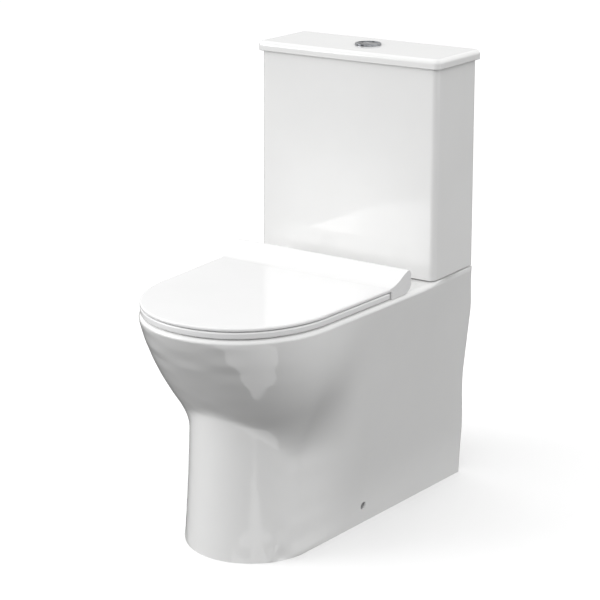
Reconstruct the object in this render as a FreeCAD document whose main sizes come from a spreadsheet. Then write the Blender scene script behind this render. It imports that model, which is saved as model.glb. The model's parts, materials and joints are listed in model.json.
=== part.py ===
import FreeCAD, Part
import PartDesign
import Sketcher
import math
import os

# Close coupled toilet: a shrouded pan, a cistern bolted on its rear deck, a seat and a lid.
# Frame in millimetres: +Z up, the front faces -Y, the wall is the plane at +Y,
# and the origin is on the floor under the middle of the whole.

os.makedirs("parts", exist_ok=True)
doc = FreeCAD.newDocument("close_coupled_toilet")
sheet = doc.addObject("Spreadsheet::Sheet", "Sheet")
Vector = FreeCAD.Vector

DRIVING = [
    # pan
    ("rim_height", 414.5, "floor to the top of the rim and rear deck"),
    ("rim_edge", 8.0, "height of the rounded upper edge of the pan"),
    ("pan_front", -326.0, "foremost point of the rim"),
    ("wall_plane", 326.0, "back of the pan's foot, against the wall"),
    ("deck_back", 290.5, "back of the rear deck under the cistern"),
    ("widest", -134.0, "where the round front ends and the sides begin"),
    ("rim_half", 171.0, "half the rim's width at that place"),
    ("back_half", 183.5, "half the width of the rear deck"),
    ("bowl_drop", 242.0, "height over which the bowl's outside draws in"),
    ("bowl_half", 61.5, "half width of the bowl's outside at its lowest"),
    ("bowl_front", -175.0, "front of the bowl's outside at its lowest"),
    ("foot_front", -247.0, "front of the foot on the floor"),
    ("foot_half", 116.0, "half width of the foot where its sides begin"),
    ("foot_back_half", 147.5, "half width of the foot at the wall"),
    ("foot_draw", 12.0, "how far the foot draws in above the floor"),
    ("lean_start", 40.0, "height above which the pan's sides lean out"),
    ("side_blend", 115.0, "length over which the foot's front swells into the flat sides"),
    ("pan_wall", 12.0, "thickness of the pan's ceramic wall"),
    ("deck_thick", 14.0, "thickness of the rear deck"),
    ("spigot_height", 180.0, "floor to the middle of the outlet"),
    ("spigot_radius", 51.0, "outside radius of the outlet"),
    ("spigot_bore", 41.0, "inside radius of the outlet"),
    ("spigot_length", 60.0, "length of the outlet spigot"),
    ("trap_radius", 40.0, "outside radius of the trapway"),
    ("trap_bore", 30.0, "inside radius of the trapway"),
    ("inlet_radius", 34.0, "radius of the flush inlet in the deck"),
    ("gasket_seat", 52.0, "radius of the recess round the flush inlet"),
    ("gasket_depth", 9.0, "depth of that recess"),
    # fixing of the pan
    ("fix_along", 22.0, "place of the side fixing holes along the pan"),
    ("fix_height", 32.0, "height of the side fixing holes"),
    ("fix_hole", 7.0, "radius of the side fixing hole's mouth"),
    ("fix_screw", 3.0, "radius of the side fixing screw"),
    ("fix_head", 6.0, "radius of its head"),
    # cistern
    ("cistern_gap", 1.5, "joint between the deck and the cistern"),
    ("cistern_front", 153.0, "front of the cistern"),
    ("cistern_half", 183.5, "half the width of the cistern's base"),
    ("cistern_top", 784.5, "top of the cistern's walls"),
    ("cistern_lean", 0.31, "draft of the walls in degrees"),
    ("cistern_bow", 2.5, "how far the front bows out in the middle"),
    ("cistern_corner", 11.0, "radius of the upright corners"),
    ("cistern_wall", 9.0, "thickness of the walls"),
    ("cistern_floor", 12.0, "thickness of the floor"),
    # cistern lid
    ("lid_gap", 0.7, "shadow line under the cistern lid"),
    ("lid_overhang", 6.0, "overhang of the cistern lid"),
    ("lid_height", 17.0, "height of the cistern lid"),
    ("lid_round", 8.0, "radius of the lid's upper edge"),
    ("lid_skin", 9.0, "thickness of the cistern lid's top"),
    ("spigot_lip", 12.0, "depth of the lid's locating lip"),
    ("button_along", 222.0, "place of the button from front to back"),
    ("bezel_radius", 23.5, "outside radius of the button's bezel"),
    ("bezel_height", 3.2, "height of the bezel above the lid"),
    ("button_radius", 20.0, "radius of the pair of buttons"),
    ("button_split", 0.8, "gap between the two buttons"),
    ("button_travel", 6.0, "travel of each button"),
    ("button_thick", 4.0, "thickness of a button"),
    ("shank_radius", 21.5, "outside radius of the bezel's threaded shank"),
    ("shank_length", 30.0, "length of that shank"),
    ("rod_radius", 2.5, "radius of a push rod"),
    ("rod_gap", 1.0, "gap left under a push rod when its button is down"),
    # cistern fittings
    ("bolt_spread", 85.0, "coupling bolts from the middle"),
    ("bolt_radius", 4.0, "radius of a coupling bolt"),
    ("bolt_hole", 5.5, "radius of its holes"),
    ("valve_hole", 33.0, "radius of the flush valve's hole"),
    ("tail_radius", 31.0, "outside radius of the flush valve's tail"),
    ("tail_bore", 26.0, "inside radius of the flush valve's tail"),
    ("tower_radius", 38.0, "outside radius of the flush valve's tower"),
    ("tower_top", 575.0, "top of the flush valve's tower"),
    ("overflow_radius", 14.0, "outside radius of the overflow tube"),
    ("overflow_bore", 12.0, "inside radius of the overflow tube"),
    ("overflow_top", 672.0, "top of the overflow tube"),
    ("head_top", 720.0, "top of the flush valve's head"),
    ("fill_across", -132.0, "fill valve from the middle"),
    ("fill_radius", 10.48, "thread radius of the fill valve's shank"),
    ("fill_hole", 11.5, "radius of the fill valve's hole"),
    ("fill_column", 13.0, "radius of the fill valve's column"),
    ("fill_top", 690.0, "top of the fill valve's column"),
    ("float_radius", 31.0, "outside radius of the float"),
    ("float_top", 588.0, "top of the float when the cistern is empty"),
    ("wall_screw_spread", 110.0, "wall screws from the middle"),
    ("wall_screw_height", 690.0, "height of the wall screws"),
    # seat and lid
    ("axis_along", 67.0, "hinge axis from front to back"),
    ("axis_height", 434.0, "hinge axis above the floor"),
    ("seat_bottom", 416.2, "underside of the seat"),
    ("seat_top", 427.4, "top of the seat"),
    ("seat_end", 22.0, "rear end of the seat ring"),
    ("seat_inset", 2.0, "seat and lid inside the rim's outline"),
    ("hole_half", 108.0, "half width of the seat's opening"),
    ("hole_front", -276.0, "front of the seat's opening"),
    ("hole_back", -22.0, "back of the seat's opening"),
    ("lid_bottom", 429.0, "underside of the seat's lid"),
    ("lid_top", 434.6, "top of the seat's lid"),
    ("ear_start", 27.0, "front of the lid's deep rear part"),
    ("crest_height", 455.0, "top of the lid's upswept rear"),
    ("hinge_across", 77.5, "hinge posts from the middle"),
    ("pin_radius", 3.5, "radius of a hinge pin"),
    ("knuckle_radius", 7.5, "radius of the hinge knuckles"),
    ("knuckle_width", 10.5, "width of a knuckle"),
    ("post_width", 9.0, "width of a hinge post"),
]
for row, (alias, number, meaning) in enumerate(DRIVING, 1):
    sheet.set(f"A{row}", meaning)
    sheet.set(f"B{row}", str(number))
    sheet.setAlias(f"B{row}", alias)
doc.recompute()

KEPT = []


def size(alias):
    """A driving dimension."""
    return float(sheet.get(alias))


def keep(thing, label):
    """Name a finished sub-part."""
    thing.Label = label
    KEPT.append(thing)
    return thing


def bind(thing, **expressions):
    """Bind properties of an object to cells of the sheet."""
    for prop, text in expressions.items():
        thing.setExpression(prop.replace("__", "."), text)


# ---------------------------------------------------------------- building blocks


def cylinder(name, radius, height, at, axis=Vector(0, 0, 1)):
    """A cylinder whose radius and height are expressions, from a point along an axis."""
    rod = doc.addObject("Part::Cylinder", name)
    bind(rod, Radius=radius, Height=height)
    rod.Placement = FreeCAD.Placement(at, FreeCAD.Rotation(Vector(0, 0, 1), axis))
    return rod


def box(name, length, width, height, at):
    """A box whose sides are expressions, from its lowest corner."""
    block = doc.addObject("Part::Box", name)
    bind(block, Length=length, Width=width, Height=height)
    block.Placement.Base = at
    return block


def cut(name, base, tool):
    """The base with the tool taken away."""
    result = doc.addObject("Part::Cut", name)
    result.Base = base
    result.Tool = tool
    return result


def join(name, things):
    """Several shapes as one solid, or as one node of separate solids."""
    result = doc.addObject("Part::MultiFuse", name)
    result.Shapes = things
    return result


def drill(name, base, tools):
    """The base with several tools taken away."""
    return cut(name, base, join(name + "_tools", tools) if len(tools) > 1 else tools[0])


def solid(name, shape):
    """A shape that is made with Part's own functions."""
    thing = doc.addObject("Part::Feature", name)
    thing.Shape = shape
    return thing


def tube(name, outer, inner, height, at, axis=Vector(0, 0, 1)):
    """A hollow cylinder between two radii."""
    whole = cylinder(name + "_outside", outer, height, at, axis)
    hole = cylinder(name + "_inside", inner, height, at, axis)
    return cut(name, whole, hole)


def origin_plane(body, role):
    """One of a body's own origin planes."""
    return next(p for p in body.Origin.OriginFeatures if p.Role == role)


def sketch_on(body, name, role="XY_Plane"):
    """An empty sketch on one of the body's own planes."""
    sketch = body.newObject("Sketcher::SketchObject", name)
    sketch.AttachmentSupport = (origin_plane(body, role), [""])
    sketch.MapMode = "FlatFace"
    return sketch


def add_circle(sketch, x, y, radius):
    """A circle with its radius bound to an expression and its centre fixed."""
    circle = Part.Circle(Vector(x, y, 0), Vector(0, 0, 1), 1.0)
    index = sketch.addGeometry(circle)
    number = sketch.addConstraint(Sketcher.Constraint("Radius", index, 1.0))
    sketch.setExpression(f"Constraints[{number}]", radius)
    sketch.addConstraint(Sketcher.Constraint("DistanceX", -1, 1, index, 3, x))
    sketch.addConstraint(Sketcher.Constraint("DistanceY", -1, 1, index, 3, y))


def add_hexagon(sketch, x, y, across):
    """A hexagon as wide across its flats as the number."""
    far = across / math.sqrt(3.0)
    corners = [
        Vector(x + far * math.cos(math.radians(60 * k)), y + far * math.sin(math.radians(60 * k)), 0)
        for k in range(6)
    ]
    for k in range(6):
        sketch.addGeometry(Part.LineSegment(corners[k], corners[(k + 1) % 6]))


def pad_body(name, draw, length, at, role="XY_Plane"):
    """A body with one sketch, padded by an expression."""
    body = doc.addObject("PartDesign::Body", name)
    sketch = sketch_on(body, name + "_sketch", role)
    draw(sketch)
    pad = body.newObject("PartDesign::Pad", name + "_pad")
    pad.Profile = sketch
    pad.setExpression("Length", length)
    body.Placement.Base = at
    return body


def washer(name, outer, inner, height, at):
    """A flat ring made as a padded sketch of two circles."""
    def draw(sketch):
        add_circle(sketch, 0.0, 0.0, outer)
        add_circle(sketch, 0.0, 0.0, inner)
    return pad_body(name, draw, height, at)


def hex_nut(name, across, bore, height, at):
    """A hexagon nut with a plain bore."""
    def draw(sketch):
        add_hexagon(sketch, 0.0, 0.0, across)
        add_circle(sketch, 0.0, 0.0, bore)
    return pad_body(name, draw, height, at)


def pair(name, maker):
    """Two separate solids, left and right, in one node."""
    return keep(join(name, [maker(name + "_left", -1), maker(name + "_right", 1)]), name)


def prism(points, low, high):
    """A YZ outline, given as (y, z) points, carried from x = low to x = high."""
    wire = Part.makePolygon([Vector(low, y, z) for y, z in points + points[:1]])
    return Part.Face(wire).extrude(Vector(high - low, 0, 0))


# ---------------------------------------------------------------- outlines of the pan


def ramp(t):
    """A smooth step from 0 to 1."""
    t = min(1.0, max(0.0, t))
    return t * t * (3.0 - 2.0 * t)


def soft_max(a, b, blend):
    """The larger of two numbers, rounded where they are within a blend of each other."""
    near = max(blend - abs(a - b), 0.0) / blend
    return max(a, b) + near * near * blend / 4.0


def rear_face(z):
    """The pan's back steps in twice from the foot up to the back of the deck."""
    low_step = ramp((z - 70.0) / 150.0)
    high_step = ramp((z - 325.0) / 85.0)
    step = 0.6 * low_step + 0.4 * high_step
    return size("wall_plane") + (size("deck_back") - size("wall_plane")) * step


def side_share(z):
    """How far the pan's sides have leaned out at a height, from 0 at the floor to 1 at the rim."""
    shoulder = size("rim_height") - size("rim_edge")
    start = size("lean_start")
    return min(1.0, soft_max(0.0, (z - start) / (shoulder - start), 0.16))


def side_plane(z, y):
    """Half width of the pan's flat side at a height and a place from front to back."""
    front = size("widest")
    floor_part = (y - front) / (size("wall_plane") - front)
    rim_part = 1.0 - max(0.0, 1.0 - (y - front) / (size("cistern_front") - front)) ** 1.2
    floor_half = size("foot_half") + (size("foot_back_half") - size("foot_half")) * floor_part
    rim_half = size("rim_half") + (size("back_half") - size("rim_half")) * rim_part
    return floor_half + (rim_half - floor_half) * side_share(z)


def superellipse(angle, half, depth, power):
    """Radius of a superellipse in a direction."""
    a = abs(math.cos(angle)) / half
    b = abs(math.sin(angle)) / depth
    return (a ** power + b ** power) ** (-1.0 / power)


def bowl_level(z):
    """Half width and front of the bowl's outside at a height."""
    u = min(1.0, max(0.0, (size("rim_height") - size("rim_edge") + 2.0 - z) / size("bowl_drop")))
    half = size("bowl_half") + (size("rim_half") - size("bowl_half")) * (1.0 - u ** 2.55)
    front = size("bowl_front") + (size("pan_front") - size("bowl_front")) * (1.0 - u ** 1.16)
    return half, front


def foot_level(z):
    """How far the foot has drawn in at a height."""
    return size("foot_draw") * (1.0 - (1.0 - min(1.0, z / 240.0)) ** 1.5)


# Points on each half of an outline: along the flat side, and round the front.
SIDE_POINTS = 10
FRONT_POINTS = 13


def side_spacing(k):
    """How far forward along the side a point lies, from 0 at the back to 1 at the widest place."""
    return 1.0 - (1.0 - k / SIDE_POINTS) ** 1.2


def smooth_edge(half):
    """A smooth edge round the front, from the right half's points and their mirror images.

    Its parameters are the same at every height, so that the sections loft together cleanly."""
    side = size("wall_plane") - size("widest")
    quarter = 1.4 * size("rim_half")
    marks = [side * side_spacing(k) for k in range(SIDE_POINTS)]
    marks += [side + quarter * k / (FRONT_POINTS - 1) for k in range(FRONT_POINTS)]
    marks += [2.0 * (side + quarter) - mark for mark in reversed(marks[:-1])]
    points = half + [Vector(-p.x, p.y, p.z) for p in reversed(half[:-1])]
    curve = Part.BSplineCurve()
    curve.interpolate(Points=points, Parameters=marks)
    return curve.toShape()


def pan_curve(z, inset, back):
    """Right half of the pan's outline at a height, from the back to the front: (x, y) points."""
    start = size("widest")
    bowl_half, bowl_front = bowl_level(z)
    drawn = foot_level(z)
    foot_half = size("foot_half") - drawn
    foot_front = size("foot_front") + drawn
    points = []
    middle = soft_max(bowl_half, foot_half, 45.0)
    short = middle - side_plane(z, start)
    for k in range(SIDE_POINTS):
        y = start + (back - start) * (1.0 - side_spacing(k))
        hollow = short * (1.0 - ramp((y - start) / size("side_blend")))
        rounded = inset(y) if callable(inset) else inset
        points.append((side_plane(z, y) + hollow - rounded, y))
    for k in range(FRONT_POINTS):
        angle = math.pi / 2 * k / (FRONT_POINTS - 1)
        bowl = superellipse(angle, bowl_half, start - bowl_front, 2.1)
        foot = superellipse(angle, foot_half, start - foot_front, 1.95)
        reach = soft_max(bowl, foot, 5.0 + 40.0 * math.cos(angle) ** 6)
        reach -= inset(start) if callable(inset) else inset
        points.append((reach * math.cos(angle), start - reach * math.sin(angle)))
    return points


def pan_wire(z, inset=0.0, back=None, corner=8.0):
    """The pan's closed outline at a height."""
    back = rear_face(z) if back is None else back
    half = pan_curve(z, inset, back - corner)
    half[-1] = (0.0, half[-1][1])
    edge = smooth_edge([Vector(x, y, z) for x, y in half])
    wide = half[0][0]
    bend = corner * (1.0 - math.sqrt(0.5))
    starts = [Vector(sign * wide, back - corner, z) for sign in (-1, 1)]
    ends = [Vector(sign * (wide - corner), back, z) for sign in (-1, 1)]
    middles = [Vector(sign * (wide - bend), back - bend, z) for sign in (-1, 1)]
    arcs = [
        Part.Arc(starts[0], middles[0], ends[0]).toShape(),
        Part.Arc(ends[1], middles[1], starts[1]).toShape(),
    ]
    return Part.Wire([edge, arcs[0], Part.LineSegment(ends[0], ends[1]).toShape(), arcs[1]])


# Heights of the sections through the pan, closer together where its shape turns.
PAN_LEVELS = [
    0, 20, 45, 65, 85, 110, 135, 158, 180, 200, 214, 224, 234, 245,
    258, 273, 290, 307, 322, 338, 358, 380, 396,
]


def pan_outside():
    """The outside of the pan: a loft up to the rim's edge, and the rounded edge above it."""
    shoulder = size("rim_height") - size("rim_edge")
    levels = [z for z in PAN_LEVELS if z < shoulder] + [shoulder]
    lower = Part.makeLoft([pan_wire(z) for z in levels], True, False)
    rows = []
    for step in range(5):
        angle = math.radians(22.5 * step)
        edge = size("rim_edge")
        drop = edge * (1.0 - math.cos(angle))

        def inset(y, drop=drop):
            return drop * (1.0 - ramp((y - size("cistern_front") + 10.0) / 10.0))

        rows.append(pan_wire(shoulder + edge * math.sin(angle), inset))
    upper = Part.makeLoft(rows, True, False)
    return lower.fuse(upper)


def pan_hollow():
    """The space under the deck and inside the foot, open below and behind."""
    wall = size("pan_wall")
    top = size("rim_height") - size("deck_thick")
    levels = [-20.0] + [z for z in PAN_LEVELS if z < top - 5.0] + [top]
    back = size("wall_plane") + 20.0
    return Part.makeLoft([pan_wire(z, wall, back) for z in levels], True, False)


# Height, half width, front and back of the bowl's inside.
BOWL_INSIDE = [
    (430.0, 130.0, -288.0, -14.0),
    (414.5, 130.0, -288.0, -14.0),
    (390.0, 129.0, -286.0, -15.0),
    (330.0, 120.0, -266.0, -24.0),
    (265.0, 98.0, -222.0, -38.0),
    (205.0, 72.0, -182.0, -52.0),
    (150.0, 50.0, -152.0, -58.0),
    (105.0, 36.0, -132.0, -60.0),
    (62.0, 24.0, -116.0, -64.0),
]


def oval_wire(z, half, front, back):
    """A closed oval at a height, starting on its right."""
    middle = (front + back) / 2.0
    reach = (back - front) / 2.0
    angles = [2.0 * math.pi * k / 24 for k in range(24)]
    points = [Vector(half * math.cos(a), middle + reach * math.sin(a), z) for a in angles]
    curve = Part.BSplineCurve()
    curve.interpolate(points, PeriodicFlag=True)
    return Part.Wire([curve.toShape()])


def bowl_loft(grow, rows, sink=0.0):
    """A stack of ovals through the bowl's levels, larger by a wall."""
    wires = []
    for z, half, front, back in rows:
        wires.append(oval_wire(z - sink, half + grow, front - grow, back + grow))
    return Part.makeLoft(wires, True, False)


def trap_path(start):
    """The middle line of the trapway in the YZ plane: in low, up over the weir, out level."""
    rise = size("spigot_height") - 78.0
    bend = rise / 2.0
    low = Vector(0, start, 78.0)
    first = Vector(0, 20.0, 78.0)
    half_way = Vector(0, 20.0 + bend, 78.0 + bend)
    top = Vector(0, 20.0 + 2.0 * bend, size("spigot_height"))
    lean = bend * math.sqrt(0.5)
    edges = [
        Part.LineSegment(low, first).toShape(),
        Part.Arc(first, Vector(0, 20.0 + lean, 78.0 + bend - lean), half_way).toShape(),
        Part.Arc(half_way, Vector(0, 20.0 + 2.0 * bend - lean, 78.0 + bend + lean), top).toShape(),
        Part.LineSegment(top, Vector(0, size("wall_plane") - 40.0, top.z)).toShape(),
    ]
    return Part.Wire(edges)


def trap_tube(radius, start):
    """A round tube along the trapway."""
    path = trap_path(start)
    ring = Part.Wire([Part.Circle(Vector(0, start, 78.0), Vector(0, 1, 0), radius).toShape()])
    return path.makePipeShell([ring], True, False)


def make_pan():
    """The pan: shell, bowl, trapway, outlet, flush inlet and every hole."""
    top = size("rim_height")
    along_back = Vector(0, 1, 0)
    spigot_start = Vector(0, size("wall_plane") - size("spigot_length") - 6.0, size("spigot_height"))
    shell = solid("pan_outside", pan_outside())
    hollow = solid("pan_hollow", pan_hollow())
    inner_rows = BOWL_INSIDE[1:]
    bowl_wall = solid("bowl_wall", bowl_loft(size("pan_wall"), inner_rows, 4.0))
    trap_wall = solid("trap_wall", trap_tube(size("trap_radius"), -70.0))
    spigot = cylinder("spigot", "Sheet.spigot_radius", "Sheet.spigot_length", spigot_start, along_back)
    inlet_at = Vector(0, size("button_along"), top - 70.0)
    inlet_wall = cylinder("inlet_wall", "Sheet.inlet_radius + 12", "62", inlet_at)
    duct_start = Vector(0, -20.0, top - 52.0)
    duct_wall = cylinder("duct_wall", "30", "Sheet.button_along + 40", duct_start, along_back)
    kept_inside = join("pan_inside_walls", [bowl_wall, trap_wall, spigot, inlet_wall, duct_wall])
    space = cut("pan_space", hollow, kept_inside)

    bowl = solid("bowl_inside", bowl_loft(0.0, BOWL_INSIDE))
    trap = solid("trap_inside", trap_tube(size("trap_bore"), -95.0))
    spigot_mouth = spigot_start + Vector(0, 8.0, 0)
    bore_length = "Sheet.spigot_length + 20"
    bore = cylinder("spigot_inside", "Sheet.spigot_bore", bore_length, spigot_mouth, along_back)
    inlet = cylinder("inlet_inside", "Sheet.inlet_radius", "90", inlet_at + Vector(0, 0, 8.0))
    duct_at = Vector(0, -26.0, top - 42.0)
    duct = cylinder("duct_inside", "19", "Sheet.button_along + 20", duct_at, along_back)
    seat_at = Vector(0, size("button_along"), top - size("gasket_depth"))
    recess = cylinder("gasket_recess", "Sheet.gasket_seat", "Sheet.gasket_depth + 10", seat_at)
    tools = [bowl, trap, bore, inlet, duct, recess]
    for sign, side in ((-1, "left"), (1, "right")):
        for stem, across, along, radius in (
            ("hinge_hole", size("hinge_across"), size("axis_along"), "5.5"),
            ("coupling_hole", size("bolt_spread"), size("button_along"), "Sheet.bolt_hole"),
        ):
            at = Vector(sign * across, along, top - 40.0)
            tools.append(cylinder(f"{stem}_{side}", radius, "60", at))
        at = Vector(sign * 90.0, size("fix_along"), size("fix_height"))
        outward = Vector(sign, 0, 0)
        tools.append(cylinder(f"fix_shank_hole_{side}", "Sheet.fix_screw + 0.6", "60", at, outward))
        at = Vector(sign * (side_face() - 6.0), size("fix_along"), size("fix_height"))
        tools.append(cylinder(f"fix_mouth_{side}", "Sheet.fix_hole", "30", at, outward))
    at = Vector(size("fill_across"), size("button_along"), top - 40.0)
    tools.append(cylinder("fill_clearance", "26", "60", at))
    body = cut("pan_shell", shell, space)
    return keep(drill("pan", body, tools), "pan")


def side_face():
    """Half width of the foot's outside at the side fixing holes."""
    curve = pan_curve(size("fix_height"), 0.0, size("wall_plane") - 8.0)
    above = [p for p in curve if p[1] > size("fix_along")][-1]
    below = [p for p in curve if p[1] <= size("fix_along")][0]
    part = (size("fix_along") - below[1]) / (above[1] - below[1])
    return below[0] + (above[0] - below[0]) * part


# ---------------------------------------------------------------- fixing of the pan to the floor


def make_floor_fixings():
    """Two brackets on the floor inside the foot, their floor screws, and the side screws."""
    inner = side_face() - size("pan_wall")
    along = size("fix_along")

    def bracket(name, sign):
        clear = inner - 5.0
        low = clear - 42.0 if sign > 0 else -clear
        plate = box(name + "_plate", "42", "60", "4", Vector(low, along - 30.0, 0))
        upright_low = clear - 7.0 if sign > 0 else -clear
        upright = box(name + "_upright", "7", "36", "52", Vector(upright_low, along - 18.0, 0))
        across = Vector(sign * (inner - 30.0), along, size("fix_height"))
        hole = cylinder(name + "_hole", "Sheet.fix_screw + 0.02", "40", across, Vector(sign, 0, 0))
        downs = []
        for k in (-1, 1):
            down_at = Vector(sign * (inner - 30.0), along + k * 20.0, -2.0)
            downs.append(cylinder(name + f"_down_{k}", "3.2", "10", down_at))
        whole = join(name + "_whole", [plate, upright])
        return drill(name, whole, [hole] + downs)

    pair("floor_brackets", bracket)

    def floor_screws(name, sign):
        screws = []
        for k in (-1, 1):
            at = Vector(sign * (inner - 30.0), along + k * 20.0, 0)
            shank = cylinder(name + f"_shank_{k}", "3", "4", at)
            head = cylinder(name + f"_head_{k}", "6", "4", at + Vector(0, 0, 4.0))
            screws.append(join(name + f"_{k}", [shank, head]))
        return join(name, screws)

    pair("bracket_screws", floor_screws)

    def side_screw(name, sign):
        outward = Vector(sign, 0, 0)
        head_at = Vector(sign * (side_face() - 6.0), along, size("fix_height"))
        head = cylinder(name + "_head", "Sheet.fix_head", "3", head_at, outward)
        shank = cylinder(name + "_shank", "Sheet.fix_screw", "22", head_at - outward * 22.0, outward)
        slot_at = head_at + outward * 1.6 + Vector(-1.0, -4.0, -0.6)
        slot = box(name + "_slot", "2", "8", "1.2", slot_at)
        return cut(name, join(name + "_whole", [head, shank]), slot)

    pair("side_fixing_screws", side_screw)


# ---------------------------------------------------------------- cistern


def draw_cistern_base(inset):
    """The cistern's footprint, bowed in front, in from the outside by an inset."""
    half = size("cistern_half") - inset
    front = size("cistern_front") + inset
    back = size("deck_back") - inset
    bow = size("cistern_bow")

    def draw(sketch):
        ends = [(-half, front), (half, front), (half, back), (-half, back)]
        corners = [Vector(x, y, 0) for x, y in ends]
        sketch.addGeometry(Part.Arc(corners[0], Vector(0, front - bow, 0), corners[1]))
        for k in (1, 2, 3):
            sketch.addGeometry(Part.LineSegment(corners[k], corners[(k + 1) % 4]))

    return draw


def upright_edges(shape, reach):
    """Names of the edges that stand upright, longer than a reach."""
    names = []
    for number, edge in enumerate(shape.Edges, 1):
        ends = [v.Point for v in edge.Vertexes]
        if len(ends) == 2 and abs(ends[0].z - ends[1].z) > reach:
            names.append(f"Edge{number}")
    return names


def level_edges(shape, z):
    """Names of the edges that lie at a height."""
    names = []
    for number, edge in enumerate(shape.Edges, 1):
        if abs(edge.BoundBox.ZMin - z) < 0.05 and abs(edge.BoundBox.ZMax - z) < 0.05:
            names.append(f"Edge{number}")
    return names


def fillet(body, name, base, edges, radius):
    """A fillet of named edges, its radius an expression."""
    feature = body.newObject("PartDesign::Fillet", name)
    feature.Base = (base, edges)
    feature.setExpression("Radius", radius)
    doc.recompute()
    return feature


def make_cistern():
    """The cistern: a tapered ceramic box, open at the top, with holes in its floor and back."""
    low = size("rim_height") + size("cistern_gap")
    body = doc.addObject("PartDesign::Body", "cistern_body")
    outline = sketch_on(body, "cistern_outline")
    draw_cistern_base(0.0)(outline)
    walls = body.newObject("PartDesign::Pad", "cistern_walls")
    walls.Profile = outline
    bind(walls, Length="Sheet.cistern_top - Sheet.rim_height - Sheet.cistern_gap")
    bind(walls, TaperAngle="-Sheet.cistern_lean")
    doc.recompute()
    edges = upright_edges(walls.Shape, 100.0)
    corners = fillet(body, "cistern_corners", walls, edges, "Sheet.cistern_corner")
    foot = fillet(body, "cistern_foot", corners, level_edges(corners.Shape, 0.0), "2.5")
    inside = body.newObject("Sketcher::SketchObject", "cistern_inside")
    inside.AttachmentSupport = (origin_plane(body, "XY_Plane"), [""])
    inside.MapMode = "FlatFace"
    bind(inside, AttachmentOffset__Base__z="Sheet.cistern_floor")
    draw_cistern_base(size("cistern_wall") + 1.0)(inside)
    space = body.newObject("PartDesign::Pocket", "cistern_space")
    space.Profile = inside
    space.Type = "ThroughAll"
    space.Reversed = True
    doc.recompute()
    assert space.Shape.Volume < foot.Shape.Volume * 0.5
    body.Placement.Base.z = low

    valve_at = Vector(0, size("button_along"), low - 10.0)
    fill_at = Vector(size("fill_across"), size("button_along"), low - 10.0)
    tools = [
        cylinder("valve_opening", "Sheet.valve_hole", "60", valve_at),
        cylinder("fill_opening", "Sheet.fill_hole", "60", fill_at),
    ]
    for sign, side in ((-1, "left"), (1, "right")):
        at = Vector(sign * size("bolt_spread"), size("button_along"), low - 10.0)
        tools.append(cylinder(f"cistern_bolt_hole_{side}", "Sheet.bolt_hole", "60", at))
        at = Vector(sign * size("wall_screw_spread"), size("deck_back") - 30.0, size("wall_screw_height"))
        tools.append(cylinder(f"wall_screw_hole_{side}", "4.5", "60", at, Vector(0, 1, 0)))
    return keep(drill("cistern", body, tools), "cistern")


def make_cistern_lid():
    """The cistern's lid: an overhanging slab with a rounded edge and a locating lip below."""
    body = doc.addObject("PartDesign::Body", "slab")
    outline = sketch_on(body, "slab_outline")
    draw_cistern_base(-size("lid_overhang") + 2.0)(outline)
    slab = body.newObject("PartDesign::Pad", "slab_pad")
    slab.Profile = outline
    bind(slab, Length="Sheet.lid_height")
    doc.recompute()
    upright = upright_edges(slab.Shape, 10.0)
    corners = fillet(body, "slab_corners", slab, upright, "Sheet.cistern_corner")
    upper = level_edges(corners.Shape, size("lid_height"))
    rim = fillet(body, "slab_edge", corners, upper, "Sheet.lid_round")
    foot = fillet(body, "slab_foot", rim, level_edges(rim.Shape, 0.0), "1.2")
    below = body.newObject("Sketcher::SketchObject", "slab_hollow_outline")
    below.AttachmentSupport = (origin_plane(body, "XY_Plane"), [""])
    below.MapMode = "FlatFace"
    draw_cistern_base(size("cistern_wall") + 9.0)(below)
    hollow = body.newObject("PartDesign::Pocket", "slab_hollow")
    hollow.Profile = below
    hollow.Reversed = True
    bind(hollow, Length="Sheet.lid_height - Sheet.lid_skin")
    doc.recompute()
    assert hollow.Shape.Volume < foot.Shape.Volume * 0.8
    low = size("cistern_top") + size("lid_gap")
    body.Placement.Base.z = low

    lip = doc.addObject("PartDesign::Body", "lip")
    lip_outline = sketch_on(lip, "lip_outline")
    draw_cistern_base(size("cistern_wall") + 5.0)(lip_outline)
    draw_cistern_base(size("cistern_wall") + 9.0)(lip_outline)
    lip_pad = lip.newObject("PartDesign::Pad", "lip_pad")
    lip_pad.Profile = lip_outline
    bind(lip_pad, Length="Sheet.spigot_lip + 2")
    lip.Placement.Base.z = low - size("spigot_lip")
    hole_at = Vector(0, size("button_along"), low - 10.0)
    hole = cylinder("button_opening", "Sheet.shank_radius + 0.5", "60", hole_at)
    return keep(drill("cistern_lid", join("cistern_lid_whole", [body, lip]), [hole]), "cistern_lid")


# ---------------------------------------------------------------- flush buttons


def lid_surface():
    """Height of the cistern lid's top."""
    return size("cistern_top") + size("lid_gap") + size("lid_height")


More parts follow.
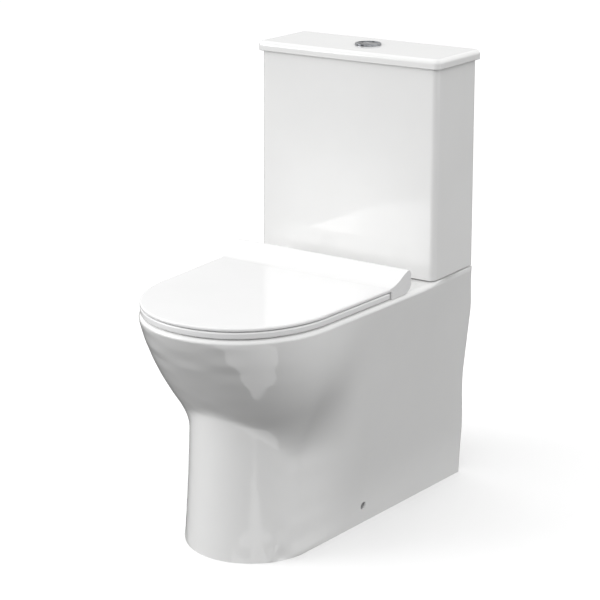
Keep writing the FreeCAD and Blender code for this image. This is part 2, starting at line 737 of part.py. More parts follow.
def make_buttons():
    """The bezel in the lid, its nut, the two half-round buttons with rods, and their springs."""
    top = lid_surface()
    middle = Vector(0, size("button_along"), 0)
    upward = Vector(0, 0, 1)
    shank_low = top - size("shank_length")
    shank_at = middle + upward * shank_low
    flange = cylinder("bezel_flange", "Sheet.bezel_radius", "Sheet.bezel_height", middle + upward * top)
    shank = cylinder("bezel_shank", "Sheet.shank_radius", "Sheet.shank_length", shank_at)
    well_at = shank_at + upward * 3.0
    well = cylinder("bezel_well", "Sheet.button_radius + 0.3", "Sheet.shank_length + 20", well_at)
    rod_at = {"full": Vector(9.5, size("button_along"), 0), "half": Vector(-9.5, size("button_along"), 0)}
    holes = [
        cylinder(f"bezel_hole_{k}", "Sheet.rod_radius + 0.3", "20", at + upward * (shank_low - 5.0))
        for k, at in rod_at.items()
    ]
    whole = join("bezel_whole", [flange, shank])
    keep(drill("button_bezel", whole, [well] + holes), "button_bezel")

    nut_at = Vector(0, size("button_along"), size("cistern_top") + size("lid_gap") + 2.0)
    nut_height = "Sheet.lid_height - Sheet.lid_skin - 2"
    nut = washer("bezel_nut", "Sheet.shank_radius + 7", "Sheet.shank_radius + 0.02", nut_height, nut_at)
    keep(nut, "bezel_nut")

    face = top + size("bezel_height") - 0.6
    low = face - size("button_thick")
    rod_low = size("head_top") + size("button_travel") + size("rod_gap")
    rod_length = ("Sheet.cistern_top + Sheet.lid_gap + Sheet.lid_height + Sheet.bezel_height - 0.6"
                  " - Sheet.button_thick - Sheet.head_top - Sheet.button_travel - Sheet.rod_gap")
    for k, at in rod_at.items():
        disc = cylinder(f"{k}_disc", "Sheet.button_radius", "Sheet.button_thick", middle + upward * low)
        gap = size("button_split") / 2.0
        left_edge = -60.0 + gap if k == "full" else -gap
        away = box(f"{k}_away", "60", "60", "20", Vector(left_edge, size("button_along") - 30.0, low - 5.0))
        rod = cylinder(f"{k}_rod", "Sheet.rod_radius", rod_length, at + upward * rod_low)
        keep(join(f"{k}_flush_button", [cut(f"{k}_half_disc", disc, away), rod]), f"{k}_flush_button")

    rest = shank_low + 3.2
    for k, at in rod_at.items():
        helix = Part.makeHelix(3.6, low - rest - 1.8, 4.0)
        wire = Part.Wire(helix.Edges)
        ring = Part.Wire([Part.Circle(Vector(4.0, 0, 0), Vector(0, 1, 0), 0.5).toShape()])
        coil = wire.makePipeShell([ring], True, True)
        spring = solid(f"{k}_spring", coil)
        spring.Placement.Base = at + upward * (rest + 0.7)
        keep(spring, f"{k}_button_spring")


# ---------------------------------------------------------------- coupling of cistern and pan


def make_coupling():
    """What holds the cistern on the deck: gasket, pads, bolts, seals, washers and wing nuts."""
    deck = size("rim_height")
    base = deck + size("cistern_gap")
    floor = base + size("cistern_floor")
    along = size("button_along")
    under = deck - size("deck_thick")
    gasket_at = Vector(0, along, deck - size("gasket_depth"))
    gasket_height = "Sheet.gasket_depth + Sheet.cistern_gap"
    gasket = washer("coupling_gasket", "Sheet.gasket_seat - 0.5", "39.5", gasket_height, gasket_at)
    keep(gasket, "coupling_gasket")

    def pad(name, sign):
        return box(name, "16", "70", "Sheet.cistern_gap", Vector(sign * 167.0 - 8.0, along - 35.0, deck))

    pair("bearing_pads", pad)

    def bolt(name, sign):
        at = Vector(sign * size("bolt_spread"), along, floor + 6.0)
        head = pad_body(name + "_head", lambda sketch: add_hexagon(sketch, 0.0, 0.0, 14.0), "6", at)
        shank_at = Vector(at.x, at.y, under - 22.0)
        length = "28 + Sheet.deck_thick + Sheet.cistern_gap + Sheet.cistern_floor"
        return join(name, [head, cylinder(name + "_shank", "Sheet.bolt_radius", length, shank_at)])

    pair("coupling_bolts", bolt)

    def seal(name, sign):
        at = Vector(sign * size("bolt_spread"), along, floor)
        return washer(name, "13", "Sheet.bolt_radius", "6", at)

    pair("bolt_seals", seal)

    def plate(name, sign):
        at = Vector(sign * size("bolt_spread"), along, under - 1.5)
        return washer(name, "14", "Sheet.bolt_radius", "1.5", at)

    pair("bolt_washers", plate)

    def wing_nut(name, sign):
        at = Vector(sign * size("bolt_spread"), along, under - 9.5)
        hub = cylinder(name + "_hub", "8", "8", at)
        wings = box(name + "_wings", "3", "34", "12", at + Vector(-1.5, -17.0, -4.0))
        bore = cylinder(name + "_bore", "Sheet.bolt_radius", "30", at - Vector(0, 0, 10.0))
        return cut(name, join(name + "_whole", [hub, wings]), bore)

    pair("wing_nuts", wing_nut)

    inner = size("deck_back") - size("cistern_wall") - 1.0
    lean = (size("wall_screw_height") - base) * math.tan(math.radians(size("cistern_lean")))
    outer = size("deck_back") - lean
    back = Vector(0, 1, 0)

    def spacer(name, sign):
        at = Vector(sign * size("wall_screw_spread"), outer + 0.15, size("wall_screw_height"))
        return tube(name, "11", "4", f"{size('wall_plane') - outer - 0.15:.3f}", at, back)

    pair("wall_spacers", spacer)

    def wall_washer(name, sign):
        at = Vector(sign * size("wall_screw_spread"), inner - 2.0, size("wall_screw_height"))
        return tube(name, "10", "3.5", "2", at, back)

    pair("wall_screw_washers", wall_washer)

    def wall_screw(name, sign):
        at = Vector(sign * size("wall_screw_spread"), inner - 2.0, size("wall_screw_height"))
        head = cylinder(name + "_head", "7", "3", at - back * 3.0, back)
        shank = cylinder(name + "_shank", "3.5", f"{size('wall_plane') - inner + 2.0:.3f}", at, back)
        return join(name, [head, shank])

    pair("wall_screws", wall_screw)


# ---------------------------------------------------------------- flush valve


def make_flush_valve():
    """The flush valve: flanged tail, seal, nut, windowed tower, head and the lifting overflow tube."""
    base = size("rim_height") + size("cistern_gap")
    floor = base + size("cistern_floor")
    middle = Vector(0, size("button_along"), 0)

    def at(z):
        return middle + Vector(0, 0, z)

    keep(washer("flush_valve_washer", "42", "Sheet.tail_radius", "2", at(floor)), "flush_valve_washer")
    tail_low = base - 40.0
    tail_length = f"{floor + 2.0 - tail_low:.3f}"
    tail = tube("tail", "Sheet.tail_radius", "Sheet.tail_bore", tail_length, at(tail_low))
    flange = tube("valve_flange", "42", "Sheet.tail_bore", "4", at(floor + 2.0))
    keep(join("flush_valve_base", [tail, flange]), "flush_valve_base")
    keep(hex_nut("flush_valve_nut", 66.0, "Sheet.tail_radius", "8", at(base - 8.0)), "flush_valve_nut")

    seat = floor + 6.0
    tower_height = f"Sheet.tower_top - {seat:.3f}"
    tower = tube("tower_wall", "Sheet.tower_radius", "Sheet.tower_radius - 5", tower_height, at(seat))
    windows = []
    for k in range(3):
        window = box(f"window_{k}", "120", "22", "48", Vector(-60.0, -11.0, 0))
        turn = FreeCAD.Rotation(Vector(0, 0, 1), 60.0 * k + 30.0)
        window.Placement = FreeCAD.Placement(at(seat + 8.0), turn) * window.Placement
        windows.append(window)
    roof_at = at(size("tower_top"))
    roof = tube("tower_roof", "Sheet.tower_radius", "Sheet.overflow_radius + 0.5", "4", roof_at)
    keep(join("flush_valve_tower", [drill("tower_cut", tower, windows), roof]), "flush_valve_tower")

    head_low = size("tower_top") + 4.0
    head_high = size("head_top") - 4.0
    wall = tube("head_wall", "24", "20", f"{head_high - head_low:.3f}", at(head_low))
    cover = cylinder("head_cover", "24", "4", at(head_high))
    slots = []
    for k in range(2):
        slot = box(f"head_slot_{k}", "60", "16", "70", Vector(-30.0, -8.0, 0))
        turn = FreeCAD.Rotation(Vector(0, 0, 1), 90.0 * k)
        slot.Placement = FreeCAD.Placement(at(head_low + 20.0), turn) * slot.Placement
        slots.append(slot)
    keep(join("flush_valve_head", [drill("head_cut", wall, slots), cover]), "flush_valve_head")

    low = seat + 0.3
    foot_at = at(low + 4.0)
    overflow_height = f"Sheet.overflow_top - {foot_at.z:.3f}"
    overflow = tube("overflow_wall", "Sheet.overflow_radius", "Sheet.overflow_bore", overflow_height, foot_at)
    foot = tube("overflow_foot", "24", "Sheet.overflow_bore", "3", foot_at)
    keep(join("overflow_tube", [overflow, foot]), "overflow_tube")
    keep(washer("flush_seal", "31", "Sheet.overflow_bore", "4", at(low)), "flush_seal")


# ---------------------------------------------------------------- fill valve


def make_fill_valve():
    """The fill valve: shank and column, cap, washer, nut and the float that slides on the column."""
    base = size("rim_height") + size("cistern_gap")
    floor = base + size("cistern_floor")

    def at(z):
        return Vector(size("fill_across"), size("button_along"), z)

    shank_low = base - 42.0
    shank = cylinder("fill_shank", "Sheet.fill_radius", f"{floor + 2.0 - shank_low:.3f}", at(shank_low))
    flange = cylinder("fill_flange", "18", "4", at(floor + 2.0))
    column_low = floor + 6.0
    column_height = f"Sheet.fill_top - {column_low:.3f}"
    column = cylinder("fill_column", "Sheet.fill_column", column_height, at(column_low))
    bore = cylinder("fill_bore", "6", f"Sheet.fill_top - {shank_low + 5.0:.3f}", at(shank_low - 5.0))
    keep(drill("fill_valve", join("fill_whole", [shank, flange, column]), [bore]), "fill_valve")
    keep(washer("fill_valve_washer", "18", "Sheet.fill_radius", "2", at(floor)), "fill_valve_washer")
    keep(hex_nut("fill_valve_nut", 30.0, "Sheet.fill_radius", "10", at(base - 10.0)), "fill_valve_nut")
    cap = cylinder("cap_body", "24", "14", at(size("fill_top")))
    nozzle_at = at(size("fill_top") + 7.0) + Vector(20.0, 0, 0)
    nozzle = cylinder("cap_nozzle", "4", "18", nozzle_at, Vector(1, 0, 0))
    keep(join("fill_valve_cap", [cap, nozzle]), "fill_valve_cap")
    float_low = size("float_top") - 44.0
    ring = tube("float_ring", "Sheet.float_radius", "Sheet.fill_column + 0.6", "44", at(float_low))
    dish = tube("float_dish", "Sheet.float_radius - 3", "Sheet.fill_column + 4", "34", at(float_low - 1.0))
    keep(cut("fill_float", ring, dish), "fill_float")


# ---------------------------------------------------------------- seat and its lid


def rim_outline(inset, back):
    """The rim's outline in plan, in by an inset, closed straight across at the back."""
    shoulder = size("rim_height") - size("rim_edge")
    half = pan_curve(shoulder, inset, back)
    half[-1] = (0.0, half[-1][1])
    right = [Vector(x, y, 0) for x, y in half]
    left = [Vector(-x, y, 0) for x, y in reversed(half[:-1])]
    curve = Part.BSplineCurve()
    curve.interpolate(right + left)
    return Part.Wire([curve.toShape(), Part.LineSegment(left[-1], right[0]).toShape()])


def slab(wire, low, high):
    """A flat slab on a closed outline between two heights."""
    wire = wire.copy()
    wire.translate(Vector(0, 0, low))
    return Part.Face(wire).extrude(Vector(0, 0, high - low))


def round_levels(shape, radius, heights):
    """The shape with every edge that lies at one of the heights rounded."""
    edges = [
        e for e in shape.Edges
        if any(abs(e.BoundBox.ZMin - z) < 0.05 and abs(e.BoundBox.ZMax - z) < 0.05 for z in heights)
    ]
    return shape.makeFillet(radius, edges)


def rod_across(radius, low, high):
    """A cylinder along X on the hinge axis."""
    start = Vector(low, size("axis_along"), size("axis_height"))
    return Part.makeCylinder(radius, high - low, start, Vector(1, 0, 0))


def both_sides(shape):
    """A shape and its mirror image in the middle plane."""
    return [shape, shape.mirror(Vector(0, 0, 0), Vector(1, 0, 0))]


def make_seat():
    """The seat: a ring with rounded edges, and two arms with knuckles on the hinge pins."""
    low = size("seat_bottom")
    high = size("seat_top")
    axis_y = size("axis_along")
    axis_z = size("axis_height")
    outline = rim_outline(size("seat_inset"), size("seat_end"))
    ring = round_levels(slab(outline, low, high), 2.5, [low, high])
    opening = oval_wire(0, size("hole_half"), size("hole_front"), size("hole_back"))
    ring = ring.cut(slab(opening, low - 5.0, high + 5.0))
    inner_edge = [
        e for e in ring.Edges
        if abs(e.BoundBox.ZMin - high) < 0.05 and abs(e.BoundBox.XMax - size("hole_half")) < 0.5
    ]
    ring = ring.makeFillet(4.0, inner_edge)
    inner = size("hinge_across") + size("post_width") / 2.0 + 0.8
    outer = inner + size("knuckle_width")
    arm_side = [
        (10.0, low + 2.0), (10.0, high - 2.0), (size("seat_end") + 0.5, high),
        (47.0, axis_z + 0.5), (axis_y - 3.0, axis_z + 6.0),
        (axis_y, axis_z - 7.0), (32.0, low + 2.5),
    ]
    arm = prism(arm_side, inner, outer).fuse(rod_across(size("knuckle_radius"), inner, outer))
    arm = arm.cut(rod_across(size("pin_radius") + 0.05, inner - 5.0, outer + 5.0))
    whole = ring.fuse(both_sides(arm)).removeSplitter()
    return keep(solid("seat_ring", whole), "seat_ring")


def wing_top():
    """The rising top of the lid's rear, from the flat to the crest: (y, z) points."""
    flat = size("lid_top")
    crest = size("crest_height")
    rise = crest - flat
    parts = [(24.0, 0.0), (36.0, 0.1), (47.0, 0.29), (57.0, 0.54), (66.0, 0.78), (74.0, 0.94), (79.5, 1.0)]
    return [(y, flat + rise * share) for y, share in parts]


def make_lid():
    """The seat's lid: a thin plate whose rear sweeps up to a crest and wraps round the hinges."""
    axis = Vector(0, size("axis_along"), size("axis_height"))
    deep = axis.z - size("rim_height") - 0.6
    flat = size("lid_top")
    under = size("lid_bottom")
    half = size("back_half") + 20.0
    outline = rim_outline(size("seat_inset"), 90.0)
    plate = slab(rim_outline(size("seat_inset"), 30.0), under, flat)
    plate = round_levels(plate, 2.6, [flat])
    plate = round_levels(plate, 1.0, [under])
    plate = plate.common(Part.makeBox(2 * half, 400.0, 60.0, Vector(-half, -374.0, under - 20.0)))

    def point(y, z):
        return Vector(-half, y, z)

    def on_arc(radius, degrees):
        angle = math.radians(degrees)
        return point(axis.y + radius * math.cos(angle), axis.z + radius * math.sin(angle))

    top = [point(y, z) for y, z in wing_top()]
    rise = Part.BSplineCurve()
    rise.interpolate(top, InitialTangent=Vector(0, 1, 0), FinalTangent=Vector(0, 1, 0))
    back_top = point(axis.y + deep - 0.5, axis.z + 6.0)
    bottom = on_arc(deep, -90.0)
    ear = size("ear_start")
    ear_chamfer = 3.0
    lower_side = [
        bottom,
        point(ear + ear_chamfer, bottom.z),
        point(ear, bottom.z + ear_chamfer),
        point(ear, under),
        point(top[0].y, under),
        top[0],
    ]
    loop = [
        rise.toShape(),
        Part.Arc(top[-1], point(axis.y + 16.6, axis.z + 16.5), back_top).toShape(),
        Part.LineSegment(back_top, on_arc(deep, 0.0)).toShape(),
        Part.Arc(on_arc(deep, 0.0), on_arc(deep, -45.0), bottom).toShape(),
    ] + Part.makePolygon(lower_side).Edges
    wing = Part.Face(Part.Wire(loop)).extrude(Vector(2 * half, 0, 0))
    wing = wing.common(slab(outline, 400.0, 470.0))

    skin = 4.0
    ear_width = 14.0
    room = size("rim_half") - size("seat_inset") + 5.0 - ear_width
    inner = deep - 3.5
    roof = [Vector(-room, y, z - skin) for y, z in wing_top()[:6]]
    roof[0].z = under - 0.01
    bend = axis + Vector(-room, 0, 0)
    arc_start = bend + Vector(0, inner * math.cos(math.radians(66)), inner * math.sin(math.radians(66)))
    arc_middle = bend + Vector(0, inner * math.cos(math.radians(-12)), inner * math.sin(math.radians(-12)))
    arc_end = bend + Vector(0, 0, -inner)
    roof_line = Part.makePolygon(roof + [arc_start])
    floor = size("rim_height") - 2.0
    closing = Part.makePolygon([arc_end, Vector(-room, axis.y, floor), Vector(-room, 24.0, floor), roof[0]])
    back_arc = Part.Arc(arc_start, arc_middle, arc_end).toShape()
    cavity = Part.Wire(roof_line.Edges + [back_arc] + closing.Edges)
    wing = wing.cut(Part.Face(cavity).extrude(Vector(2 * room, 0, 0)))

    post_half = size("post_width") / 2.0
    outer = size("hinge_across") - post_half - 0.8
    low = outer - size("knuckle_width")
    notch_low = low - 4.0
    notch_high = size("hinge_across") + post_half + size("knuckle_width") + 6.0
    notch = Part.makeBox(notch_high - notch_low, 40.0, 40.0, Vector(notch_low, axis.y - 4.0, floor))
    notch = notch.common(Part.makeBox(400.0, 60.0, axis.z + 12.0 - floor, Vector(0, 40.0, floor)))
    foot_corner = Vector(notch_low + 3.0, axis.y + 13.5, floor)
    foot_room = Part.makeBox(notch_high - notch_low - 6.0, 40.0, 60.0, foot_corner)
    for piece in both_sides(notch) + both_sides(foot_room):
        wing = wing.cut(piece)
    web_side = [
        (axis.y - 6.5, axis.z), (axis.y - 6.5, axis.z + 10.0),
        (axis.y + 6.0, axis.z + 15.5), (axis.y + 6.0, axis.z),
    ]
    knuckle = prism(web_side, low, outer).fuse(rod_across(size("knuckle_radius"), low, outer))
    knuckle = knuckle.cut(rod_across(size("pin_radius") + 0.05, low - 5.0, outer + 5.0))
    whole = plate.fuse([wing] + both_sides(knuckle)).removeSplitter()
    return keep(solid("seat_lid", whole), "seat_lid")


def make_hinges():
    """Posts on the deck, pins through them, and the bolts, bushes and nuts below."""
    deck = size("rim_height")
    under = deck - size("deck_thick")
    across = size("hinge_across")
    axis_y = size("axis_along")
    axis_z = size("axis_height")
    half = size("post_width") / 2.0

    def post(name, sign):
        at = Vector(sign * across, axis_y, deck)
        foot = cylinder(name + "_foot", "13", "3", at)
        column_at = Vector(sign * across - half, axis_y - size("knuckle_radius"), deck + 1.0)
        column = box(name + "_column", "Sheet.post_width", "2 * Sheet.knuckle_radius",
                     "Sheet.axis_height - Sheet.rim_height - 1", column_at)
        eye_at = Vector(sign * across - half, axis_y, axis_z)
        eye = cylinder(name + "_eye", "Sheet.knuckle_radius", "Sheet.post_width", eye_at, Vector(1, 0, 0))
        pin_at = Vector(sign * across - 20.0, axis_y, axis_z)
        bore = cylinder(name + "_bore", "Sheet.pin_radius", "40", pin_at, Vector(1, 0, 0))
        thread = cylinder(name + "_thread", "3", "10", at - Vector(0, 0, 2.0))
        return drill(name, join(name + "_whole", [foot, column, eye]), [bore, thread])

    pair("hinge_posts", post)

    def pin(name, sign):
        start = Vector(sign * across - half - size("knuckle_width") - 0.8, axis_y, axis_z)
        length = "Sheet.post_width + 2 * Sheet.knuckle_width + 1.6"
        return cylinder(name, "Sheet.pin_radius", length, start, Vector(1, 0, 0))

    pair("hinge_pins", pin)

    def bolt(name, sign):
        return cylinder(name, "3", "Sheet.deck_thick + 30", Vector(sign * across, axis_y, under - 22.0))

    pair("hinge_bolts", bolt)

    def bush(name, sign):
        at = Vector(sign * across, axis_y, under - 3.0)
        sleeve = tube(name + "_sleeve", "5.5", "3", "Sheet.deck_thick + 2.9", at)
        flange = tube(name + "_flange", "12", "3", "3", at)
        return join(name, [sleeve, flange])

    pair("hinge_bushes", bush)

    def nut(name, sign):
        return hex_nut(name, 18.0, "3", "8", Vector(sign * across, axis_y, under - 11.0))

    pair("hinge_nuts", nut)


def make_buffers():
    """Small pads under the seat and under its lid."""
    places = [(-136.0, -150.0), (136.0, -150.0), (-134.0, 0.0), (134.0, 0.0)]
    pads = [
        cylinder(f"seat_buffer_{k}", "7", "1.4", Vector(x, y, size("seat_bottom") - 1.4))
        for k, (x, y) in enumerate(places)
    ]
    keep(join("seat_buffers", pads), "seat_buffers")
    caps = [
        cylinder(f"lid_buffer_{k}", "6", "1.3", Vector(x, y, size("lid_bottom") - 1.3))
        for k, (x, y) in enumerate(places)
    ]
    keep(join("lid_buffers", caps), "lid_buffers")


def write_parts():
    """Check every object and write each sub-part to its own file."""
    doc.recompute()
    failed = [o.Name for o in doc.Objects if "Invalid" in o.State or "Error" in o.State]
    assert not failed, failed
    for part in KEPT:
        shape = part.Shape
        assert not shape.isNull() and shape.isValid() and shape.Volume > 0, part.Label
        shape.exportStep(f"parts/{part.Label}.step")
        print(f"{part.Label:22s} solids {len(shape.Solids)} volume {shape.Volume / 1000.0:10.2f} cm3")


make_pan()
make_floor_fixings()
make_cistern()
make_cistern_lid()
make_buttons()
make_coupling()
make_flush_valve()
make_fill_valve()
make_seat()
make_lid()
make_hinges()
make_buffers()
write_parts()
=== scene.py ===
import json
import math
import bpy
from mathutils import Matrix, Vector

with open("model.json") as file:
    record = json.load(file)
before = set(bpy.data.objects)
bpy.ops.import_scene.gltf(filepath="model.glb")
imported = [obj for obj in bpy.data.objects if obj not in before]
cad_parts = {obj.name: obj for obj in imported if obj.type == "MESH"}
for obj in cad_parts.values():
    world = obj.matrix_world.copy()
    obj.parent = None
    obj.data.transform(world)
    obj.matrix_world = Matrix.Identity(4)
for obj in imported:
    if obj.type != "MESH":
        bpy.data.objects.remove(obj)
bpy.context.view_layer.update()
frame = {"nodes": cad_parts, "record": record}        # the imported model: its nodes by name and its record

# The camera: its place, the direction it is seen in from the toilet, its roll and its lens.
CAMERA_PLACE = (1.72945, -2.45941, 1.31075)
CAMERA_AZIMUTH = 34.971
CAMERA_ELEVATION = 17.01
CAMERA_ROLL = -0.08
LENS_MM = 109.746
SENSOR_MM = 36.0

# The dome's radiance below and above the horizon, and the sine of the elevation it changes over.
DOME_BELOW = 0.05
DOME_ABOVE = 1.3
HORIZON_SINE = 0.10

# Towards the zenith the dome fades, from this sine of the elevation down to this share.
FADE_SINE = 0.3
ZENITH_SHARE = 0.68

# A grey screen behind the toilet: its azimuth and elevation, its share of the dome's light, and
# the angles from its middle at which it is fully dark and gone.
SCREEN_AT = (215.0, 17.0)
SCREEN_SHARE = 0.6
SCREEN_DARK = 14.0
SCREEN_END = 20.0

# Square softboxes, turned to the middle of the toilet: name, azimuth, elevation and radiance.
SOFTBOXES = [("softbox", -50.0, 17.0, 4.3), ("fill", 105.0, 12.0, 0.9)]
SOFTBOX_AIM = Vector((0.0, 0.0, 0.4))
SOFTBOX_FAR = 3.2
SOFTBOX_SIDE = 1.8

FLOOR_HALF = 60.0
BUTTON_EDGE = 0.0007
UP = (0.0, 0.0, 1.0)


# ---------------------------------------------------------------- camera and floor


def direction(azimuth, elevation):
    """The unit vector towards an azimuth, counted from -Y towards +X, and an elevation."""
    azimuth = math.radians(azimuth)
    elevation = math.radians(elevation)
    level = math.cos(elevation)
    return Vector((math.sin(azimuth) * level, -math.cos(azimuth) * level, math.sin(elevation)))


def add_camera():
    """A long lens in front of the toilet, to its right and a little above."""
    roll = math.radians(CAMERA_ROLL)
    back = direction(CAMERA_AZIMUTH, CAMERA_ELEVATION)
    level = direction(CAMERA_AZIMUTH + 90.0, 0.0)
    upward = back.cross(level)
    right = level * math.cos(roll) + upward * math.sin(roll)
    up = upward * math.cos(roll) - level * math.sin(roll)
    data = bpy.data.cameras.new("camera")
    data.lens = LENS_MM
    data.sensor_width = SENSOR_MM
    camera = bpy.data.objects.new("camera", data)
    turn = Matrix((right, up, back)).transposed().to_4x4()
    camera.matrix_world = Matrix.Translation(CAMERA_PLACE) @ turn
    bpy.context.scene.collection.objects.link(camera)
    bpy.context.scene.camera = camera


def add_floor():
    """A wide pale floor, which neither the glaze nor the shaded sides pick up, as in a cut-out."""
    corners = [(x * FLOOR_HALF, y * FLOOR_HALF, 0.0) for x, y in ((-1, -1), (1, -1), (1, 1), (-1, 1))]
    mesh = bpy.data.meshes.new("floor")
    mesh.from_pydata(corners, [], [(0, 1, 2, 3)])
    floor = bpy.data.objects.new("floor", mesh)
    bpy.context.scene.collection.objects.link(floor)
    material, shader = new_material("floor")
    shader.inputs["Base Color"].default_value = (0.99, 0.99, 0.99, 1.0)
    shader.inputs["Roughness"].default_value = 0.8
    mesh.materials.append(material)
    floor.visible_diffuse = False
    floor.visible_glossy = False


# ---------------------------------------------------------------- light


def add_range(tree, source, start, end, low, high):
    """A node that carries a value from one range, start to end, over to another, low to high."""
    node = tree.nodes.new("ShaderNodeMapRange")
    node.inputs["From Min"].default_value = start
    node.inputs["From Max"].default_value = end
    node.inputs["To Min"].default_value = low
    node.inputs["To Max"].default_value = high
    tree.links.new(source, node.inputs["Value"])
    return node


def multiply(tree, first, second):
    """The product of two values."""
    node = tree.nodes.new("ShaderNodeMath")
    node.operation = "MULTIPLY"
    tree.links.new(first, node.inputs[0])
    tree.links.new(second, node.inputs[1])
    return node.outputs["Value"]


def add_dome():
    """The world: bright above the horizon, with a grey screen behind, and nearly dark below."""
    world = bpy.data.worlds.new("studio")
    bpy.context.scene.world = world
    world.use_nodes = True
    tree = world.node_tree
    background = tree.nodes["Background"]
    background.inputs["Color"].default_value = (1.0, 1.0, 1.0, 1.0)
    place = tree.nodes.new("ShaderNodeTexCoord").outputs["Generated"]
    split = tree.nodes.new("ShaderNodeSeparateXYZ")
    tree.links.new(place, split.inputs["Vector"])
    sine = split.outputs["Z"]

    horizon = add_range(tree, sine, -HORIZON_SINE, HORIZON_SINE, DOME_BELOW, DOME_ABOVE)
    horizon.interpolation_type = "SMOOTHSTEP"

    # The chrome and the level tops mirror the screen.
    nearness = tree.nodes.new("ShaderNodeVectorMath")
    nearness.operation = "DOT_PRODUCT"
    nearness.inputs[1].default_value = direction(*SCREEN_AT)
    tree.links.new(place, nearness.inputs[0])
    end = math.cos(math.radians(SCREEN_END))
    dark = math.cos(math.radians(SCREEN_DARK))
    screen = add_range(tree, nearness.outputs["Value"], end, dark, 1.0, SCREEN_SHARE)

    fade = add_range(tree, sine, FADE_SINE, 1.0, 1.0, ZENITH_SHARE)
    screened = multiply(tree, horizon.outputs["Result"], screen.outputs["Result"])
    strength = multiply(tree, screened, fade.outputs["Result"])
    tree.links.new(strength, background.inputs["Strength"])


def add_panel(name, at, towards, width, depth, radiance):
    """A rectangular area light at a place, shining along a direction, of a given radiance."""
    data = bpy.data.lights.new(name, "AREA")
    data.shape = "RECTANGLE"
    data.size = width
    data.size_y = depth
    data.energy = radiance * math.pi * width * depth
    lamp = bpy.data.objects.new(name, data)
    lamp.location = at
    lamp.rotation_euler = Vector(towards).to_track_quat("-Z", "Y").to_euler()
    bpy.context.scene.collection.objects.link(lamp)
    return lamp


def add_light():
    """The dome, the softboxes at the left and right, and a low panel that only the glaze mirrors."""
    add_dome()
    for name, azimuth, elevation, radiance in SOFTBOXES:
        towards = direction(azimuth, elevation)
        place = SOFTBOX_AIM + towards * SOFTBOX_FAR
        add_panel(name, place, -towards, SOFTBOX_SIDE, SOFTBOX_SIDE, radiance)
    panel = add_panel("bowl_panel", (0.70, -1.01, -0.40), UP, width=1.2, depth=1.18, radiance=1.4)
    panel.visible_diffuse = False
    bpy.context.scene.view_settings.view_transform = "Standard"


# ---------------------------------------------------------------- materials


def new_material(name):
    """A new node material and its shader."""
    material = bpy.data.materials.new(name)
    material.use_nodes = True
    return material, material.node_tree.nodes["Principled BSDF"]


def noise(tree, place, scale, detail, stretch=None):
    """A noise value over the object, stretched along an axis if asked."""
    texture = tree.nodes.new("ShaderNodeTexNoise")
    texture.inputs["Scale"].default_value = scale
    texture.inputs["Detail"].default_value = detail
    source = place.outputs["Object"]
    if stretch:
        mapping = tree.nodes.new("ShaderNodeMapping")
        mapping.inputs["Scale"].default_value = stretch
        tree.links.new(source, mapping.inputs["Vector"])
        source = mapping.outputs["Vector"]
    tree.links.new(source, texture.inputs["Vector"])
    return texture.outputs["Fac"]


def finish_material(name, colours, roughness, grain, patch, metallic=0.0, coat=0.0, stretch=None):
    """A finish: two colours in soft patches, a varying roughness and a fine relief. On the chrome the patches
    are painted reflection.

    colours is the pair to vary between, roughness the pair of its limits, grain the relief's
    scale and height in metres, and patch the scale of the colour's patches. stretch draws the
    grain out, as brushing does."""
    material, shader = new_material(name)
    tree = material.node_tree
    place = tree.nodes.new("ShaderNodeTexCoord")
    ramp = tree.nodes.new("ShaderNodeValToRGB")
    for stop, position, colour in zip(ramp.color_ramp.elements, (0.35, 0.65), colours):
        stop.position = position
        stop.color = (*colour, 1.0)
    tree.links.new(noise(tree, place, patch, detail=3.0), ramp.inputs["Fac"])
    tree.links.new(ramp.outputs["Color"], shader.inputs["Base Color"])

    grain_scale, grain_height = grain
    fine = noise(tree, place, grain_scale, detail=2.0, stretch=stretch)
    gloss = add_range(tree, fine, 0.0, 1.0, *roughness)
    tree.links.new(gloss.outputs["Result"], shader.inputs["Roughness"])
    relief = tree.nodes.new("ShaderNodeBump")
    relief.inputs["Distance"].default_value = grain_height
    relief.inputs["Strength"].default_value = 1.0
    tree.links.new(fine, relief.inputs["Height"])
    tree.links.new(relief.outputs["Normal"], shader.inputs["Normal"])
    shader.inputs["Metallic"].default_value = metallic
    shader.inputs["Coat Weight"].default_value = coat
    shader.inputs["Coat Roughness"].default_value = 0.06
    return material


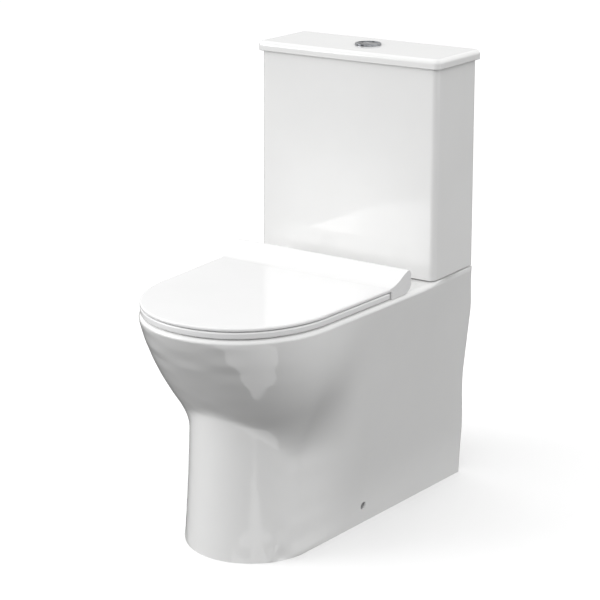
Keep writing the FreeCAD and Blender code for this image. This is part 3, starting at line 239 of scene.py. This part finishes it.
# Each slot's finish: its two colours, limits of roughness, grain, scale of patches, and the rest.
FINISHES = {
    "ceramic": dict(
        colours=[(0.835, 0.835, 0.83), (0.85, 0.85, 0.845)],
        roughness=(0.06, 0.09), grain=(14.0, 0.00001), patch=9.0, coat=0.2,
    ),
    "seat_plastic": dict(
        colours=[(0.83, 0.83, 0.83), (0.845, 0.845, 0.845)],
        roughness=(0.10, 0.16), grain=(260.0, 0.000004), patch=9.0,
    ),
    # Painted reflection: the chrome's colour is darkened far below chrome's own, near black in patches beside
    # mid-grey ones, standing in for the button's dark reflections with bright bits.
    "chrome": dict(
        colours=[(0.03, 0.03, 0.035), (0.34, 0.35, 0.37)],
        roughness=(0.04, 0.10), grain=(55.0, 0.0012), patch=120.0, metallic=1.0,
    ),
    "steel": dict(
        colours=[(0.48, 0.48, 0.49), (0.60, 0.60, 0.61)],
        roughness=(0.22, 0.42), grain=(320.0, 0.00002), patch=60.0, metallic=1.0,
        stretch=(1.0, 14.0, 1.0),
    ),
    "brass": dict(
        colours=[(0.58, 0.41, 0.16), (0.70, 0.52, 0.23)],
        roughness=(0.22, 0.45), grain=(300.0, 0.00003), patch=80.0, metallic=1.0,
    ),
    "rubber": dict(
        colours=[(0.022, 0.022, 0.022), (0.040, 0.040, 0.040)],
        roughness=(0.62, 0.85), grain=(900.0, 0.00006), patch=50.0,
    ),
    "grey_plastic": dict(
        colours=[(0.34, 0.36, 0.38), (0.39, 0.41, 0.43)],
        roughness=(0.36, 0.52), grain=(1100.0, 0.00003), patch=30.0,
    ),
    "white_plastic": dict(
        colours=[(0.70, 0.70, 0.69), (0.76, 0.76, 0.75)],
        roughness=(0.34, 0.50), grain=(1100.0, 0.00003), patch=30.0,
    ),
    "blue_plastic": dict(
        colours=[(0.03, 0.12, 0.38), (0.04, 0.15, 0.44)],
        roughness=(0.32, 0.48), grain=(1100.0, 0.00003), patch=30.0,
    ),
}


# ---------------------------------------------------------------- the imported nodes


def dress_nodes():
    """Smooth shading and the slot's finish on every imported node."""
    materials = {slot: finish_material(slot, **finish) for slot, finish in FINISHES.items()}
    slots = {row["node"]: row["material_slot"] for row in frame["record"]["subparts"]}
    for name, node in frame["nodes"].items():
        node.data.shade_smooth()
        node.data.materials.clear()
        node.data.materials.append(materials[slots[name]])


def round_edges(names, width):
    """Narrow rounded edges on hard hardware: the seams of the mesh are closed, then bevelled."""
    for name in names:
        node = frame["nodes"][name]
        weld = node.modifiers.new("close_seams", "WELD")
        weld.merge_threshold = 0.000002
        bevel = node.modifiers.new("round_edges", "BEVEL")
        bevel.width = width
        bevel.segments = 3
        bevel.limit_method = "ANGLE"
        bevel.angle_limit = math.radians(35.0)
        bevel.harden_normals = True


add_camera()
add_floor()
add_light()
dress_nodes()
round_edges(["button_bezel", "full_flush_button", "half_flush_button"], BUTTON_EDGE)
